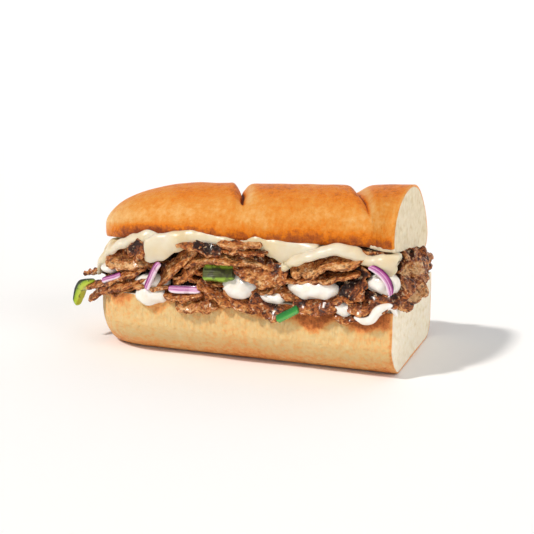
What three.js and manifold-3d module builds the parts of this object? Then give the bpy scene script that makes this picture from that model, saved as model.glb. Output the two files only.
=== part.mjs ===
// Half of a footlong submarine sandwich: a heel and a crown of soft white bread, a heap of
// shaved steak between them, slices of melted cheese under the crown, and strips of red onion,
// pieces of green pepper and dollops of white sauce in the steak.
// Millimetres. X runs along the loaf to the cut face, -Y is the filled front, +Z is up.
// The origin is on the flat base of the heel.
import * as THREE from 'three';
import { mergeVertices } from 'three/addons/utils/BufferGeometryUtils.js';
import Module from 'manifold-3d';

const wasm = await Module();
wasm.setup();

// Driving dimensions
const heelTipX = -70.8;      // rounded end of the heel
const crownTipX = -65.8;     // and of the crown
const cutX = 75;             // flat cut face
const fullX = -60;           // from here to the cut face, levels rise evenly
const domeX = -10;           // and from here the crown's height
const heelWidth = 76;
const heelBaseWidth = 53;    // flat part of the underside
const heelWidestZ = 14;
const heelLean = -3.2;       // the heel's sides lean towards the front
const heelTopTip = 27;       // height of the heel near the tip
const heelTopCut = 30.5;     // height of the heel at the cut face
const heelLip = 0.9;         // how far the heel's sides draw in again up to its slit edge
const crownWidth = 64.8;
const crownSlitWidth = 58;   // width of the crown's sliced underside
const crownSwell = 6;        // height at which the crown is widest
const crownLean = 5;         // the dome is leaner at the back
const crownHeightTip = 25.2;
const crownHeightCut = 25.4;
const crownSag = 2;          // the underside sags at the cut face
const crownY = -10;          // middle of the crown's underside, nearer the front than the heel
const crownZTip = 46.8;      // height of that middle near the tip
const crownZCut = 51.8;      // and at the cut face
const crownTilt = 9;         // degrees, front edge up
const fillFront = 39.5;      // how far the heap of steak reaches forward of the middle
const fillBack = 34;
const fillSlope = 3.8;       // how much less it reaches at the top
const fillTop = 48;          // highest level of the heap under the slices
const fillRoof = 7.6;        // and how far it stays below the crown
const cheeseThick = 2.2;
const cheeseFront = 34.5;    // how far the slices lie forward of the middle before they turn down
const cheeseBack = 19;
const cheeseShoulder = 4.5;  // radius at which a slice turns down over the steak
const overlap = 9;           // length over which a slice's tip end dips under its neighbour
const gap = 0.4;             // clearance between neighbours

// Rounded ends, each with its length and its power, which is 2 for an ellipse and more for a
// squarer end: seen from above, and for the bread from the side too.
const heelEnd = { tipX: heelTipX, length: 34, power: 2.3 };
const heelFoot = { tipX: heelTipX, length: 16, power: 2.6 };
const crownEnd = { tipX: crownTipX, length: 34, power: 2.3 };
const crownBrow = { tipX: crownTipX, length: 48, power: 2.4 };
const fillEnd = { tipX: heelTipX, length: 38, power: 2.2 };
const cheeseEnd = { tipX: heelTipX, length: 40, power: 2.2 };

const rad = THREE.MathUtils.degToRad;
const lerp = THREE.MathUtils.lerp;
const clamp = THREE.MathUtils.clamp;
const ease = (t) => THREE.MathUtils.smoothstep(t, 0, 1);

// A repeatable draw between 0 and 1.
function draw(seed, k) {
  const s = Math.sin(seed * 12.9898 + k * 78.233) * 43758.5453;
  return s - Math.floor(s);
}

// A smooth curve through values at even steps, read at t from 0 to 1.
function through(values, t) {
  const at = clamp(t, 0, 1) * (values.length - 1);
  const k = Math.min(Math.floor(at), values.length - 2);
  return lerp(values[k], values[k + 1], ease(at - k));
}

// How much of the full section is left at x, in a rounded end.
function nose(x, { tipX, length, power }) {
  const t = clamp((tipX + length - x) / length, 0, 0.997);
  return (1 - t ** power) ** (1 / power);
}

// Bends every vertex of a closed three.js shape with place(), and turns the faces outwards.
function shaped(geometry, place) {
  geometry.deleteAttribute('normal');
  geometry.deleteAttribute('uv');
  const merged = mergeVertices(geometry, 1e-4);
  const position = merged.attributes.position;
  const v = new THREE.Vector3();
  for (let i = 0; i < position.count; i++) {
    place(v.fromBufferAttribute(position, i));
    position.setXYZ(i, v.x, v.y, v.z);
  }
  const index = merged.index;
  const [a, b, c] = [new THREE.Vector3(), new THREE.Vector3(), new THREE.Vector3()];
  let volume = 0;
  for (let i = 0; i < index.count; i += 3) {
    [a, b, c].forEach((p, k) => p.fromBufferAttribute(position, index.getX(i + k)));
    volume += a.dot(b.cross(c));
  }
  if (volume < 0) {
    for (let i = 0; i < index.count; i += 3) {
      const first = index.getX(i);
      index.setX(i, index.getX(i + 1));
      index.setX(i + 1, first);
    }
  }
  return merged;
}

// The same closed shape with its skin pushed out, which keeps the next piece clear of it.
function swollen(geometry, by) {
  const copy = geometry.clone();
  copy.computeVertexNormals();
  const { position, normal } = copy.attributes;
  const index = copy.index;
  const reach = new Array(position.count).fill(1);
  const [n, face] = [new THREE.Vector3(), new THREE.Triangle()];
  for (let i = 0; i < index.count; i += 3) {
    face.setFromAttributeAndIndices(position, index.getX(i), index.getX(i + 1), index.getX(i + 2));
    const flat = face.getNormal(new THREE.Vector3());
    for (const k of [index.getX(i), index.getX(i + 1), index.getX(i + 2)]) {
      reach[k] = Math.min(reach[k], flat.dot(n.fromBufferAttribute(normal, k)));
    }
  }
  const v = new THREE.Vector3();
  reach.forEach((cosine, k) => {
    n.fromBufferAttribute(normal, k);
    v.fromBufferAttribute(position, k).addScaledVector(n, by / Math.max(cosine, 0.45));
    position.setXYZ(k, v.x, v.y, v.z);
  });
  return copy;
}

function solid(geometry) {
  const triVerts = new Uint32Array(geometry.index.array);
  const vertProperties = new Float32Array(geometry.attributes.position.array);
  return new wasm.Manifold(new wasm.Mesh({ numProp: 3, vertProperties, triVerts }));
}

// The largest body of a cut solid, without the loose scraps.
function main(cut) {
  return cut.decompose().reduce((best, body) => (body.volume() > best.volume() ? body : best));
}

function geometryOf(manifold) {
  const mesh = manifold.getMesh();
  const geometry = new THREE.BufferGeometry();
  geometry.setAttribute('position', new THREE.BufferAttribute(mesh.vertProperties, 3));
  geometry.setIndex(new THREE.BufferAttribute(mesh.triVerts, 1));
  return geometry;
}

// Bread

function heelTop(x) {
  return lerp(heelTopTip, heelTopCut, clamp((x - fullX) / (cutX - fullX), 0, 1));
}

// Half of the heel's section, from the middle of the base (q 0) to the middle of the top (q 1).
function heelSection(q, top) {
  const half = heelWidth / 2;
  const base = heelBaseWidth / 2;
  if (q < 0.2) return [base * q / 0.2, 0];
  if (q < 0.7) {
    const a = (q - 0.2) / 0.5 * Math.PI / 2;
    return [base + (half - base) * Math.sin(a), heelWidestZ * (1 - Math.cos(a))];
  }
  if (q < 0.8) {
    const e = (q - 0.7) / 0.1;
    return [half - heelLip * e * e, lerp(heelWidestZ, top, e)];
  }
  return [(half - heelLip) * (1 - (q - 0.8) / 0.2), top];
}

function crownHeight(x) {
  const along = clamp((x - domeX) / (cutX - domeX), 0, 1);
  return lerp(crownHeightTip, crownHeightCut, along) * nose(x, crownBrow);
}

// The oven spring opened the crown's crust at two slashes, which run across it at a slant.
const slashes = [
  { x: -5, slant: -0.42, depth: 4.2, left: 2.6, right: 3, reach: 0.45 },
  { x: 47, slant: -0.5, depth: 3.8, left: 3.2, right: 5, reach: 0.3 },
];

function slashDepth(x, up) {
  let depth = 0;
  for (const slash of slashes) {
    const d = x - slash.x;
    const side = d < 0 ? slash.left : slash.right;
    const fade = ease((up - slash.reach) / (1 - slash.reach) * 1.7);
    depth += slash.depth * fade * Math.exp(-((d / side) ** 2));
  }
  return depth;
}

// Draws the sections of the crown together at the slashes.
function gathered(x) {
  let moved = x;
  for (const slash of slashes) {
    const d = x - slash.x;
    moved -= 0.6 * d * Math.exp(-((d / 10) ** 2));
  }
  return moved;
}

// How far the sections lean along the slashes, which is not at all at the two ends.
function slant(x) {
  const [first, second] = slashes;
  const share = ease((x + 45) / 35) * ease((cutX - x) / 26);
  return share * lerp(first.slant, second.slant, clamp((x - first.x) / (second.x - first.x), 0, 1));
}

// Half of the crown's section, from the middle of the underside (q 0) to the apex (q 1).
function crownSection(q, height) {
  const half = crownWidth / 2;
  const slit = crownSlitWidth / 2;
  const swell = crownSwell;
  if (q < 0.2) return [slit * q / 0.2, 0, 0];
  if (q < 0.35) {
    const a = (q - 0.2) / 0.15 * Math.PI / 2;
    return [slit + (half - slit) * Math.sin(a), swell * (1 - Math.cos(a)), 0];
  }
  const a = (q - 0.35) / 0.65 * Math.PI / 2;
  return [half * Math.cos(a), swell + (height - swell) * Math.sin(a), Math.sin(a)];
}

// Height of the middle of the crown's underside.
function crownZ(x) {
  return lerp(crownZTip, crownZCut, (x - fullX) / (cutX - fullX));
}

// How far the front and back edges of the crown's underside hang at the cut face.
function crownDroop(x) {
  return crownSag * ease((x - 40) / 35);
}

// The crown lies tilted back on the filling.
function tilted(v) {
  const [c, s] = [Math.cos(rad(crownTilt)), Math.sin(rad(crownTilt))];
  const { y, z } = v;
  v.y = crownY + y * c + z * s;
  v.z = crownZ(v.x) - y * s + z * c;
}

// Turns a closed cylinder into a loaf: s runs along it from the tip, q round half a section.
function loaf(sides, steps, tipX, noseLength, noseShare, place) {
  const cylinder = new THREE.CylinderGeometry(1, 1, 1, sides, steps);
  return shaped(cylinder, (v) => {
    const s = v.y + 0.5;
    const round = Math.atan2(v.x, v.z) / Math.PI;
    const rim = Math.hypot(v.x, v.z) > 0.5 ? 1 : 0;
    const a = lerp(0.2, Math.PI / 2, Math.min(s / noseShare, 1));
    const start = tipX + noseLength;
    const x = s < noseShare
      ? start - noseLength * Math.cos(a)
      : lerp(start, cutX, (s - noseShare) / (1 - noseShare));
    place(v, x, Math.abs(round), Math.sign(round), rim);
  });
}

function heel() {
  return loaf(24, 14, heelTipX, heelEnd.length, 0.46, (v, x, q, side, rim) => {
    const top = heelTop(x);
    const [y, z] = heelSection(q, top);
    v.x = x;
    v.y = (rim * side * y + heelLean * ease(z / heelWidestZ)) * nose(x, heelEnd);
    v.z = rim ? top - (top - z) * nose(x, heelFoot) : top * 0.6;
  });
}

function crown() {
  return loaf(28, 28, crownTipX, 46, 0.34, (v, x, q, side, rim) => {
    const height = crownHeight(x);
    const [y, z, up] = crownSection(q, Math.max(height, 1));
    const across = nose(x, crownEnd);
    const station = x < cutX - 0.01 ? gathered(x) : x;
    const cut = slashDepth(station, up);
    const scale = height > crownSwell ? 1 : height / crownSwell;
    const lean = side > 0 && up > 0 ? crownLean * 2 * up * Math.sqrt(1 - up * up) : 0;
    const sag = crownDroop(x) * (1 - up) ** 2;
    v.x = station + slant(station) * rim * side * y;
    v.y = rim * side * (y - lean - cut * (1 - up)) * across;
    v.z = rim ? z * (z > crownSwell ? 1 : scale) - cut * up - sag : height * 0.4;
    tilted(v);
  });
}

// Filling

// Level of the crown's underside over the filling.
function roof(x, y) {
  return crownZ(x) - crownDroop(x) - Math.tan(rad(crownTilt)) * (y - crownY);
}

// A torn flake, strip or slice: flat, with a ragged outline, bent along its length and across.
// `face` tips its flat side from the sky towards the front, `slope` lifts its +X end, and
// `turn` swings it round the sandwich.
function flake(p, sides, steps) {
  const { length, width, thick = 2.4, slope, face, turn = 0, bend, cup = 0 } = p;
  const { seed, rag = 0.16, blunt = 3 } = p;
  const [cf, sf] = [Math.cos(rad(face)), Math.sin(rad(face))];
  const [cs, ss] = [Math.cos(rad(slope)), Math.sin(rad(slope))];
  const [ct, st] = [Math.cos(rad(turn)), Math.sin(rad(turn))];
  const curve = rad(bend) / length || 1e-6;
  const curl = rad(cup) / width || 1e-6;
  const phase = [0, 1, 2, 3, 4].map((k) => draw(seed, k) * 2 * Math.PI);
  return shaped(new THREE.SphereGeometry(1, sides, steps), (v) => {
    const along = 1 - 2 * Math.acos(clamp(v.y, -1, 1)) / Math.PI;
    const round = Math.hypot(v.x, v.z) < 1e-6 ? 0 : Math.atan2(v.z, v.x);
    const pole = Math.abs(along) > 0.9999 ? 0 : 1;
    const side = Math.cos(round);
    const near = Math.sin(along * 5.1 + phase[0]) * 0.6 + Math.sin(along * 9.7 + phase[1]) * 0.4;
    const far = Math.sin(along * 4.3 + phase[2]) * 0.6 + Math.sin(along * 8.9 + phase[3]) * 0.4;
    const edge = 1 + rag * lerp(near, far, (side + 1) / 2);
    const outline = pole * (1 - Math.abs(along) ** blunt) ** 0.45 * edge;
    const a = along * length / 2;
    const b = width / 2 * outline * Math.sign(side) * Math.abs(side) ** 0.7;
    const wave = thick * 0.3 * Math.sin(along * 3.2 + phase[4]) * pole;
    const c = thick / 2 * pole * Math.sign(Math.sin(round)) * Math.abs(Math.sin(round)) ** 0.8;
    const lift = (1 - Math.cos(curve * a)) / curve + (1 - Math.cos(curl * b)) / curl;
    const u = Math.sin(curve * a) / curve - c * Math.sin(curve * a);
    const w = Math.sin(curl * b) / curl;
    const n = lift + c * Math.cos(curve * a) + wave;
    const [y1, z1] = [w * cf - n * sf, w * sf + n * cf];
    const [x2, z2] = [u * cs - z1 * ss, u * ss + z1 * cs];
    v.set(p.x + x2 * ct - y1 * st, p.y + x2 * st + y1 * ct, p.z + z2);
  });
}

// A dollop: a ball pressed flat, lumpy and sagging a little to the front.
function dollop(p) {
  const { length, depth, height, seed } = p;
  return shaped(new THREE.SphereGeometry(1, 8, 5), (v) => {
    const lump = 1 + 0.12 * Math.sin(3 * v.x + seed) + 0.1 * Math.sin(4 * v.z + 2 * seed);
    const sag = 0.12 * v.x * v.x * Math.sin(seed);
    v.set(
      p.x + v.x * length / 2 * lump,
      p.y + v.z * depth / 2,
      p.z + height * (v.y / 2 * lump - sag),
    );
  });
}

// Slices of cheese, from the tip to the cut. `hem` is how far the front edge hangs below the
// turn of the slice and `tail` how far the back edge does, at even steps along the slice, `bow`
// shifts its waves, and `toBack` is where its end lies under the crown.
const cheeses = [
  { name: 'cheese_1', from: -66, to: -26, hem: [12, 8, 2.5, 1, 1, 2, 2], tail: [4, 6, 4, 5], bow: 1 },
  { name: 'cheese_2', from: -37, to: 9, hem: [9, 10, 5, 2.5, 2, 2, 2], tail: [5, 3, 6, 4], bow: 2 },
  { name: 'cheese_3', from: 3, to: 43, hem: [2, 4, 4, 6, 10, 11, 10], tail: [4, 6, 3, 5], bow: 3 },
  {
    name: 'cheese_4', from: 34, to: 77, toBack: 73,
    hem: [12, 8, 5, 4, 5, 9, 6], tail: [6, 4, 5, 3], bow: 4,
  },
];

// A point of a slice's middle surface: u along the loaf, row from the front hem to the back.
function cheeseSurface(slice, u, row) {
  const end = lerp(slice.to, slice.toBack ?? slice.to, ease((row - 4) / 2));
  const x = lerp(slice.from, end, u);
  const plan = Math.max(nose(x, cheeseEnd), 0.25);
  const front = -cheeseFront * plan - 1.2 * Math.sin(x * 0.21 + slice.bow);
  const back = cheeseBack * plan;
  const wide = back - front;
  const bend = cheeseShoulder * Math.PI / 2;
  const hem = through(slice.hem, u);
  const tail = through(slice.tail, u);
  const rows = [-bend - hem, -bend - hem / 2, -bend, -bend / 2, 0, wide * 0.4, wide * 0.75, wide];
  rows.push(wide + bend / 2, wide + bend, wide + bend + tail);
  const k = Math.min(Math.floor(row), rows.length - 2);
  const s = lerp(rows[k], rows[k + 1], row - k);
  const under = ease((slice.from + overlap - x) / overlap) * (cheeseThick + 2 * gap);
  const sag = 0.8 + 0.6 * Math.sin(x * 0.16 + slice.bow * 2);
  const level = roof(x, clamp(front + s, front, back)) - gap - cheeseThick / 2 - under - sag;
  const beyond = Math.max(-s, s - wide, 0);
  const turned = Math.min(beyond / cheeseShoulder, Math.PI / 2);
  const straight = Math.max(beyond - bend, 0);
  const out = (cheeseShoulder - under * 0.8) * Math.sin(turned);
  const down = (cheeseShoulder - under * 0.8) * (1 - Math.cos(turned)) + straight;
  const y = s < 0 ? front - out : Math.min(front + s, back) + (beyond > 0 ? out : 0);
  return new THREE.Vector3(x, y, level - down);
}

function cheese(slice) {
  const rows = 10;
  const step = 0.01;         // share of the length over which the surface's slope is read
  return shaped(new THREE.BoxGeometry(1, 1, 1, 8, rows, 1), (v) => {
    const [u, row] = [v.x + 0.5, (v.y + 0.5) * rows];
    const [before, after] = [Math.max(row - rows * step, 0), Math.min(row + rows * step, rows)];
    const along = cheeseSurface(slice, u + step, row).sub(cheeseSurface(slice, u - step, row));
    const across = cheeseSurface(slice, u, after).sub(cheeseSurface(slice, u, before));
    const offset = v.z * cheeseThick;
    v.copy(cheeseSurface(slice, u, row)).addScaledVector(along.cross(across).normalize(), offset);
  });
}

// Strips of red onion and pieces of green pepper, at the front and two at the back:
// name, x, y, z, length, width, slope, face, bend, turn.
const vegetables = [
  ['onion_1', -28.5, -41, 38, 15, 3.6, 66, 62, 30, 0],
  ['onion_2', -52, -37, 34.5, 10, 3, 18, 40, 10, 0],
  ['onion_3', -15, -41, 33.4, 18, 4, 2, 62, -8, 0],
  ['onion_4', 71, -41.5, 43.6, 19, 4.6, -58, 66, -48, 0],
  ['onion_5', 10, 34.5, 36, 18, 3.6, 8, 55, 25, 180],
  ['pepper_1', -75, -28, 26, 20, 6, 55, 12, -85, 0],
  ['pepper_2', 0.5, -40.5, 40.6, 16, 6.4, 3, 42, 20, 0],
  ['pepper_3', 32.5, -42.5, 27.2, 11.5, 4, 30, 50, 0, 0],
  ['pepper_4', -34, 34, 35, 16, 6, -10, 50, 25, 180],
];
const vegetableThick = { onion: 1.8, pepper: 2.6 };

// Dollops of sauce that show between the slices of steak.
const sauces = [
  { name: 'sauce_1', x: -31, y: -37, z: 35.5, length: 18, depth: 10, height: 8.5, seed: 1 },
  { name: 'sauce_2', x: -33, y: -38.5, z: 27.6, length: 15, depth: 9, height: 7.5, seed: 2 },
  { name: 'sauce_3', x: 8.5, y: -37, z: 35.2, length: 16, depth: 10, height: 12, seed: 3 },
  { name: 'sauce_4', x: 25, y: -36, z: 33.4, length: 13, depth: 9, height: 6, seed: 4 },
  { name: 'sauce_5', x: 41, y: -37.5, z: 36.6, length: 22, depth: 10, height: 9, seed: 5 },
  { name: 'sauce_6', x: 54, y: -37.5, z: 29.6, length: 10, depth: 8, height: 7, seed: 6 },
  { name: 'sauce_7', x: 70, y: -35.5, z: 40.5, length: 14, depth: 10, height: 9, seed: 7 },
  { name: 'sauce_8', x: 69, y: -37, z: 29.8, length: 19, depth: 9, height: 7, seed: 8 },
  { name: 'sauce_9', x: -54, y: -33.5, z: 39.2, length: 8, depth: 9, height: 6, seed: 9 },
  { name: 'sauce_10', x: 34, y: 33, z: 34.5, length: 20, depth: 9, height: 7, seed: 10 },
];

// The slices of steak that show best at the front, from the tip to the cut:
// x, y, z, length, width, slope, face, bend.
const frontSteak = [
  [-69, -25, 32.6, 16, 5, 24, 35, 10],
  [-59, -26, 34.5, 16, 6, 8, 35, -10],
  [-64.5, -30, 28, 22, 5, 16, 40, 12],
  [-37, -38.5, 47.5, 12, 9, 0, 72, 0],
  [-47.5, -36.5, 41.4, 19, 11, 5, 58, 10],
  [-36.5, -38.5, 42.3, 12, 7, -15, 58, 5],
  [-47, -38, 34.8, 24, 7, 22, 35, 14],
  [-45, -39, 31.6, 24, 6, 24, 38, -12],
  [-60.5, -32.5, 25.8, 20, 6, 38, 40, 10],
  [-50, -36.5, 28.4, 22, 7, 12, 45, -10],
  [-33, -40, 31.4, 18, 7, 0, 12, -14],
  [-21, -39.5, 42, 28, 9, 46, 50, 12],
  [-14, -40, 41, 23, 7, 40, 55, -10],
  [-13.5, -39.5, 50.5, 12, 7, -5, 32, 0],
  [-4.5, -40, 49.8, 14, 8, -12, 42, 12],
  [4, -40.5, 47.6, 46, 10, 3, 26, -52],
  [11, -41, 51.4, 22, 8, 4, 22, 6],
  [18.6, -41.3, 43.4, 25, 15, -10, 60, 10],
  [-4.5, -40, 37.6, 18, 7, -22, 38, 40],
  [-15, -38.5, 36.4, 18, 7, -5, 22, 8],
  [-11, -41.6, 26.2, 21, 10, 4, 56, -12],
  [-17, -40.5, 29.6, 20, 9, 8, 42, 10],
  [-2, -41, 31.6, 19, 10, -28, 46, 12],
  [8.5, -41, 29, 16, 8, -34, 50, 8],
  [21, -41.3, 27.6, 16, 11, -22, 64, 12],
  [20.5, -40, 35.5, 14, 8, 18, 42, 6],
  [27, -40.5, 39.6, 23, 7, 6, 26, -10],
  [36.5, -40.5, 44.8, 11, 9, 15, 55, 0],
  [49, -41, 48, 29, 10, 17, 42, -14],
  [51, -41, 43, 22, 8, 7, 26, 10],
  [40, -40.5, 40.8, 18, 7, 8, 22, 8],
  [59, -40.5, 39.6, 18, 12, 64, 72, 14],
  [43, -41.3, 30.6, 21, 11, 5, 60, 14],
  [54, -40.5, 33.8, 12, 8, 0, 42, 0],
  [66.5, -41, 33.4, 23, 11, 10, 58, -10],
  [73.5, -37, 38.5, 16, 9, -24, 50, 10],
  [57.5, -42, 27.2, 14, 7, 4, 60, 0],
];

// The slices that bulge out of the cut end, some of them curled:
// x, y, z, length, width, slope, face, bend, turn.
const cutSteak = [
  [75.5, -19, 43.5, 20, 10, -4, 68, 14, 58],
  [75, -24, 50, 10, 7, 10, 50, 110, 60],
  [75.5, -7, 47.5, 10, 7, -10, 50, 100, 70],
  [75.5, -31, 38.8, 15, 10, -8, 66, -14, 45],
  [75.5, -4, 36, 16, 10, 12, 60, 20, 66],
  [75, -32, 32.6, 16, 7, -32, 60, 10, 48],
  [76.5, -12, 31.5, 17, 10, 6, 62, 30, 58],
  [75, -18, 36.5, 18, 9, 20, 62, -16, 62],
  [73, 8, 41, 18, 10, -8, 64, 14, 84],
  [73, 10, 33.5, 18, 10, 10, 62, -12, 88],
  [71.5, 24, 37.5, 16, 10, 6, 58, 20, 100],
  [71.5, 25, 31.5, 16, 9, -8, 52, -16, 96],
];

// The slices of steak round the back and the tip of the heap, at two levels.
function ringSteak() {
  const around = [];
  const add = (x, y, z, turn, k) => around.push({
    x, y, z, turn,
    length: 16 + 10 * draw(k, 11),
    width: 8 + 4 * draw(k, 12),
    slope: 50 * (draw(k, 13) - 0.5),
    face: 40 + 30 * draw(k, 14),
    bend: 40 * (draw(k, 15) - 0.5),
    seed: k,
  });
  [54, 37, 20, 3, -16, -35].forEach((x, i) => {
    [33, 38.5].forEach((z, level) => {
      add(x + 8 * level, 32.5 - 2.5 * level, z, 180, 70 + 2 * i + level);
    });
  });
  [[-60, 17, 200], [-63, 5, 245], [-64, -9, 275]].forEach(([x, y, turn], i) => {
    [31.5, 38].forEach((z, level) => add(x, y, z, turn, 90 + 2 * i + level));
  });
  return around;
}

// The heap under the slices: it fills the space from the heel to the cheese.
function steakCore() {
  return shaped(new THREE.BoxGeometry(1, 1, 1, 15, 6, 2), (v) => {
    const x = lerp(heelTipX + 4, cutX - 0.5, v.x + 0.5);
    const plan = Math.max(nose(x, fillEnd), 0.3);
    const lumps = Math.sin(x * 0.33) + Math.sin(x * 0.19 + v.z * 5);
    const reach = (v.y < 0 ? fillFront : fillBack) - fillSlope * (v.z + 0.5);
    const y = v.y * 2 * (reach + 0.7 * lumps) * plan;
    const top = Math.min(roof(x, y) - fillRoof - 0.2 * lumps, fillTop);
    v.set(x + (v.x > 0.49 ? lumps * 0.6 : 0), y, lerp(heelTop(x) + gap, top, v.z + 0.5));
  });
}

// Assembly: what is named first keeps its shape, and what comes later is cut back from it.
const core = solid(steakCore());
const coreRoom = solid(swollen(steakCore(), gap));
const parts = [];
let taken = null;
function addPart(name, look, geometry, keepClear) {
  const whole = solid(geometry);
  const body = keepClear ? main(whole.subtract(keepClear).simplify(0.1)) : whole;
  const keepOut = solid(swollen(geometry, gap));
  taken = taken ? taken.add(keepOut) : keepOut;
  parts.push({ name, look, body });
}
addPart('bread_heel', 'bread', heel());
addPart('bread_crown', 'bread', crown());
for (const slice of cheeses) addPart(slice.name, 'cheese', cheese(slice), taken.add(coreRoom));
vegetables.forEach(([name, x, y, z, length, width, slope, face, bend, turn], i) => {
  const [kind] = name.split('_');
  const finish = { thick: vegetableThick[kind], rag: 0.08, blunt: 5, seed: i + 1 };
  const strip = flake({ x, y, z, length, width, slope, face, bend, turn, ...finish }, 6, 6);
  addPart(name, kind, strip, taken.add(coreRoom));
});
for (const p of sauces) addPart(p.name, 'sauce', dollop(p), taken.add(coreRoom));

const front = frontSteak.map(([x, y, z, length, width, slope, face, bend], i) => (
  flake({ x, y, z, length, width, slope, face, bend, cup: 16, seed: i + 10 }, 6, 5)
));
const end = cutSteak.map(([x, y, z, length, width, slope, face, bend, turn], i) => (
  flake({ x, y, z, length, width, slope, face, bend, turn, thick: 3, cup: 20, seed: i + 50 }, 6, 5)
));
const around = ringSteak().map((p) => flake(p, 5, 4));
const slices = [...front, ...end, ...around].map(solid).reduce((all, slice) => all.add(slice));
const steak = core.add(slices.simplify(0.4).subtract(taken));
parts.push({ name: 'steak', look: 'steak', body: main(steak.simplify(0.1)) });

const looks = {
  bread: { color: '#e6a45a', roughness: 0.7 },
  cheese: { color: '#f4e8c0', roughness: 0.4 },
  onion: { color: '#b45a8c', roughness: 0.45 },
  pepper: { color: '#6c8f2e', roughness: 0.4 },
  sauce: { color: '#f8f3e8', roughness: 0.3 },
  steak: { color: '#87542f', roughness: 0.55 },
};
const materials = Object.fromEntries(Object.entries(looks).map(
  ([look, finish]) => [look, new THREE.MeshStandardMaterial({ ...finish, metalness: 0 })],
));

const sandwich = new THREE.Group();
for (const { name, look, body } of parts) {
  const mesh = new THREE.Mesh(geometryOf(body), materials[look]);
  mesh.name = name;
  sandwich.add(mesh);
}

export default sandwich;
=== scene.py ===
import math

import bmesh
import bpy
import numpy as np
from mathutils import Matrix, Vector


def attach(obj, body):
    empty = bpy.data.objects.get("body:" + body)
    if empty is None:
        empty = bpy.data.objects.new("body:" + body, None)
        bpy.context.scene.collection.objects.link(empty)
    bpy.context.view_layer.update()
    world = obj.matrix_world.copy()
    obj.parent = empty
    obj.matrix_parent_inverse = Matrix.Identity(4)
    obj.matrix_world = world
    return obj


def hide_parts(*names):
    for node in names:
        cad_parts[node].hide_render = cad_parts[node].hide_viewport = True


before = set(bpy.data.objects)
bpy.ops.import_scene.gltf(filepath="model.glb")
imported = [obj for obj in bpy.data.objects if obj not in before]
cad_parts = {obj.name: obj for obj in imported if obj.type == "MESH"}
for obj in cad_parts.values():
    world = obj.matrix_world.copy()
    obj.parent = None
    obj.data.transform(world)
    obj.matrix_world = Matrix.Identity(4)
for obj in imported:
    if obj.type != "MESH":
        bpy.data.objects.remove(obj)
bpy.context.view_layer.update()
print("frame loaded")

# Half of a footlong steak and cheese sub. Sizes are in millimetres, like the solids, and turn
# to metres when a mesh is made. X runs to the cut end, -Y is the filled front, Z is up.
mm = 0.001
heel = {
    "tipX": -70.8, "width": 76, "baseWidth": 53, "widestZ": 14, "lean": -3.2,
    "topTip": 27, "topCut": 30.5, "edgeRadius": 0.9, "tipLength": 34, "shares": (0.2, 0.7, 0.8),
}
crown = {
    "tipX": -65.8, "width": 64.8, "slitWidth": 58, "swell": 6, "lean": 5, "heightTip": 25.2,
    "heightCut": 25.4, "sag": 2, "y": -10, "zTip": 46.8, "zCut": 51.8, "tilt": 9,
    "tipLength": 46, "shares": (0.2, 0.35),
}
cutX = 75
slashes = [
    {"x": -3.6, "slant": -0.42, "depth": 4.2, "left": 2.6, "right": 3, "reach": 0.45, "split": 1},
    {"x": 48.8, "slant": -0.5, "depth": 3.8, "left": 3.2, "right": 5, "reach": 0.25, "split": 0.5},
]


def ease(t):
    t = np.clip(t, 0, 1)
    return t * t * (3 - 2 * t)


def lerp(a, b, t):
    return a + (b - a) * t


def draw(seed, k):
    s = math.sin(seed * 12.9898 + k * 78.233) * 43758.5453
    return s - math.floor(s)


def bell(d, width):
    return np.exp(-(d / width) ** 2)


def circle(count):
    return np.linspace(0, 2 * math.pi, count, endpoint=False)


def stacked(*parts):
    return np.stack(np.broadcast_arrays(*parts), -1)


def chain(*parts):
    return np.concatenate(parts)


def unit(vectors):
    return vectors / np.linalg.norm(vectors, axis=-1, keepdims=True)


def turned(a, b, degrees):
    c, s = math.cos(math.radians(degrees)), math.sin(math.radians(degrees))
    return a * c - b * s, a * s + b * c


def through(values, t):
    # a smooth curve through values at even steps, read at t from 0 to 1
    at = np.clip(t, 0, 1) * (len(values) - 1)
    k = np.minimum(np.floor(at).astype(int), len(values) - 2)
    values = np.array(values, float)
    return lerp(values[k], values[k + 1], ease(at - k))


def nose(x, length, power, tipX=heel["tipX"]):
    t = np.clip((tipX + length - x) / length, 0, 0.9995)
    return (1 - t ** power) ** (1 / power)


def ripples(points, size, seed):
    # a smooth random field, mostly within -1 to 1, whose humps are about half of size apart
    rng, count = np.random.default_rng(seed), 9
    ways = unit(rng.normal(size=(count, points.shape[-1])))
    ways *= 2 * math.pi / size * rng.uniform(0.7, 1.4, (count, 1))
    phases = rng.uniform(0, 2 * math.pi, count)
    return np.sin(points @ ways.T + phases).sum(-1) * 0.7 / math.sqrt(count)


# Meshes

def gridFaces(rows, columns, closed=True, first=0):
    r, c = np.meshgrid(np.arange(rows - 1), np.arange(columns if closed else columns - 1), indexing="ij")
    n = (c + 1) % columns
    here, above = r * columns, (r + 1) * columns
    quads = stacked(here + c, here + n, above + n, above + c)
    return (quads.reshape(-1, 4) + first).tolist()


def tubeMesh(rings, startPoint, endPoint):
    # rings is an array of rows x columns x 3, closed round and capped at both ends by a point
    rows, columns, _ = rings.shape
    points = chain(rings.reshape(-1, 3), [startPoint], [endPoint])
    faces = gridFaces(rows, columns)
    last = (rows - 1) * columns
    for c in range(columns):
        n = (c + 1) % columns
        faces.append([rows * columns, n, c])
        faces.append([rows * columns + 1, last + c, last + n])
    return points, faces


def joined(meshes):
    # one mesh out of many, each given as (points, faces, attributes)
    points, faces, attributes = [], [], {}
    first = 0
    for shapePoints, shapeFaces, shapeAttributes in meshes:
        points.append(shapePoints)
        faces += [[i + first for i in face] for face in shapeFaces]
        for key, values in shapeAttributes.items():
            attributes.setdefault(key, []).append(values)
        first += len(shapePoints)
    return np.concatenate(points), faces, {k: np.concatenate(v) for k, v in attributes.items()}


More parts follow.
